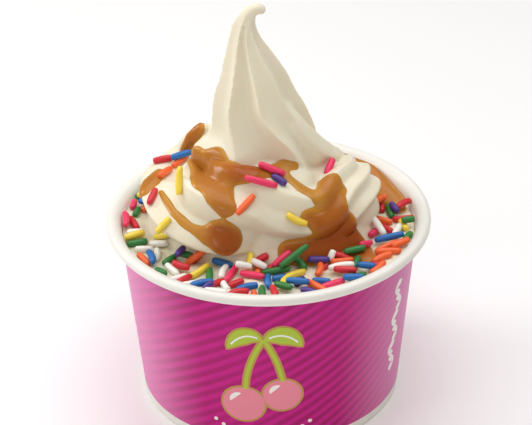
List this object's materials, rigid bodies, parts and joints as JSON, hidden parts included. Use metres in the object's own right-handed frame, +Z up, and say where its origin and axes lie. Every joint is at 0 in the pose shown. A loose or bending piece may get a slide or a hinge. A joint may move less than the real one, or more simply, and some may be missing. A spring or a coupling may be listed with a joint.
{
  "type": "frozen yogurt cup",
  "caption": "Paper cup of soft frozen yogurt piped in a star-grooved swirl with a curled peak, with caramel sauce and rainbow sprinkles.",
  "frame": {"origin": "middle of the ring that the cup stands on, at the table's level", "axes": "+Z up along the cup's axis, towards the peak; -Y is the shown front; +X to the right"},
  "size_m": [0.096, 0.096, 0.1233],
  "materials": {
    "printed_paper": "glossy coated paper with a magenta print of fine slanting stripes, white rim and foot",
    "white_board": "white coated paper board, satin",
    "frozen_yogurt": "cream-coloured soft frozen yogurt, moist satin",
    "caramel": "thin glossy caramel sauce",
    "sprinkles": "waxy sugar sprinkles in eight colours"
  },
  "bodies": {
    "root": {"cup_wall": "printed_paper", "cup_base": "white_board", "yogurt": "frozen_yogurt"}
  },
  "joints": []
}
